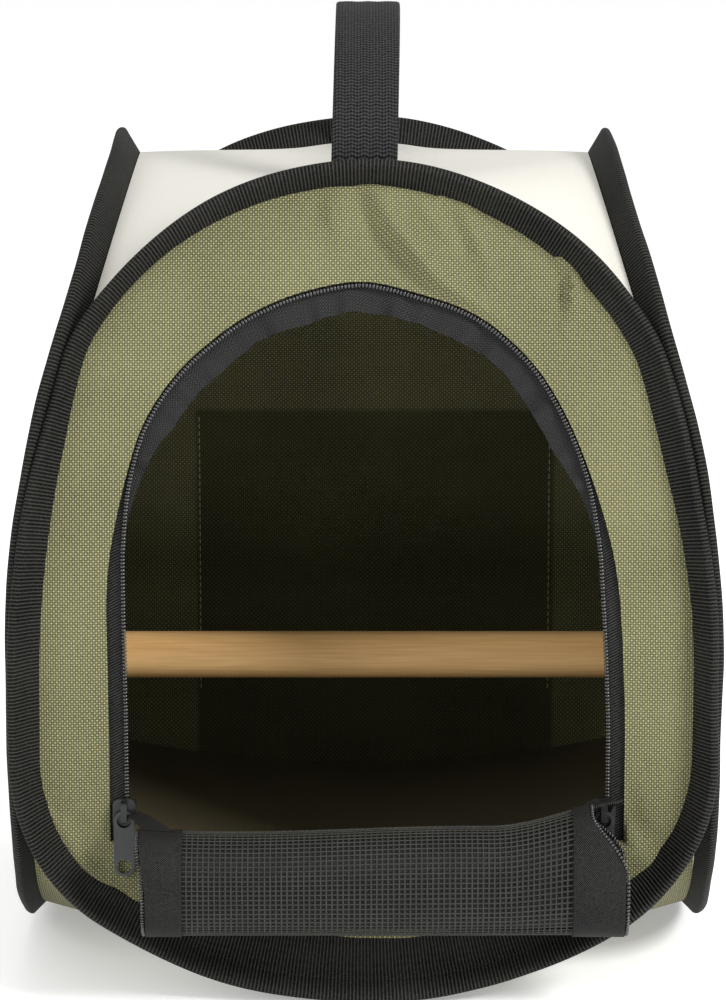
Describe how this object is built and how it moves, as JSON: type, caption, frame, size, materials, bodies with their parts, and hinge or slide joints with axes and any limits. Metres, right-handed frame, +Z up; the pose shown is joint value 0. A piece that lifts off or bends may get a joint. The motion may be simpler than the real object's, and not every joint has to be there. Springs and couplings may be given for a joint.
{
  "type": "bird travel carrier",
  "caption": "Soft pop-up carrier for a small bird: egg-shaped spring hoops in bound seams, arched zip doorway with its mesh door rolled down, perch, floor board and carry handle.",
  "frame": {"origin": "centre of the bounding box, on the ground it stands on", "axes": "+Z up, the doorway faces -Y, +X to the right seen from the front"},
  "size_m": [0.2798, 0.3057, 0.372],
  "materials": {
    "olive_cloth": "coated woven cloth, matt",
    "cream_cloth": "smooth coated cloth, matt",
    "black_tape": "ribbed tape, matt",
    "spring_wire": "drawn wire",
    "zip_tape": "woven tape",
    "zip_coil": "satin",
    "zip_metal": "dark plated, satin",
    "webbing": "coarse woven webbing",
    "black_mesh": "open square mesh",
    "perch_wood": "sanded, unvarnished",
    "screw_steel": "plated",
    "board": "matt",
    "board_cover": "woven cloth"
  },
  "bodies": {
    "shell": {"front_panel": "olive_cloth", "rear_panel": "olive_cloth", "left_panel": "olive_cloth", "right_panel": "olive_cloth", "top_panel": "cream_cloth", "base_panel": "olive_cloth", "front_binding": "black_tape", "rear_binding": "black_tape", "left_binding": "black_tape", "right_binding": "black_tape", "front_hoop_wire": "spring_wire", "rear_hoop_wire": "spring_wire", "left_hoop_wire": "spring_wire", "right_hoop_wire": "spring_wire", "opening_facing": "black_tape", "door_sill_tape": "black_tape", "opening_zip_tape": "zip_tape", "opening_zip_coil": "zip_coil", "zip_end_stops": "zip_coil", "rear_pocket": "olive_cloth", "rear_pocket_hem": "olive_cloth", "perch": "perch_wood", "perch_washers": "screw_steel", "perch_screws": "screw_steel", "handle_ends": "webbing"},
    "handle": {"handle_strap": "webbing"},
    "rolled_door": {"door_mesh": "black_mesh", "door_left_band": "black_tape", "door_right_band": "black_tape", "door_left_zip_half": "zip_coil", "door_right_zip_half": "zip_coil"},
    "left_slider": {"left_zip_slider": "zip_metal"},
    "left_pull": {"left_pull_tab": "zip_metal"},
    "right_slider": {"right_zip_slider": "zip_metal"},
    "right_pull": {"right_pull_tab": "zip_metal"},
    "loose_floor": {"floor_board": "board", "floor_board_cover": "board_cover"}
  },
  "joints": [
    {"name": "handle_swing", "type": "hinge", "parent": "shell", "child": "handle", "pos_m": [0, 0.01291, 0.321], "axis": [0, 1, 0], "range_deg": [-45, 45]},
    {"name": "door_swing", "type": "hinge", "parent": "shell", "child": "rolled_door", "pos_m": [0, -0.11727, 0.0625], "axis": [-1, 0, 0], "range_deg": [0, 90]},
    {"name": "left_slider_slide", "type": "slide", "parent": "shell", "child": "left_slider", "axis": [0, 0, 1], "range_m": [0, 0.048]},
    {"name": "left_pull_swing", "type": "hinge", "parent": "left_slider", "child": "left_pull", "pos_m": [-0.0921, -0.11784, 0.0732], "axis": [-1, 0, 0], "range_deg": [0, 150]},
    {"name": "right_slider_slide", "type": "slide", "parent": "shell", "child": "right_slider", "axis": [0, 0, 1], "range_m": [0, 0.048]},
    {"name": "right_pull_swing", "type": "hinge", "parent": "right_slider", "child": "right_pull", "pos_m": [0.0921, -0.11784, 0.0732], "axis": [-1, 0, 0], "range_deg": [0, 150]},
    {"name": "floor_board_lift", "type": "slide", "parent": "shell", "child": "loose_floor", "axis": [0, 0, 1], "range_m": [0, 0.05]}
  ]
}
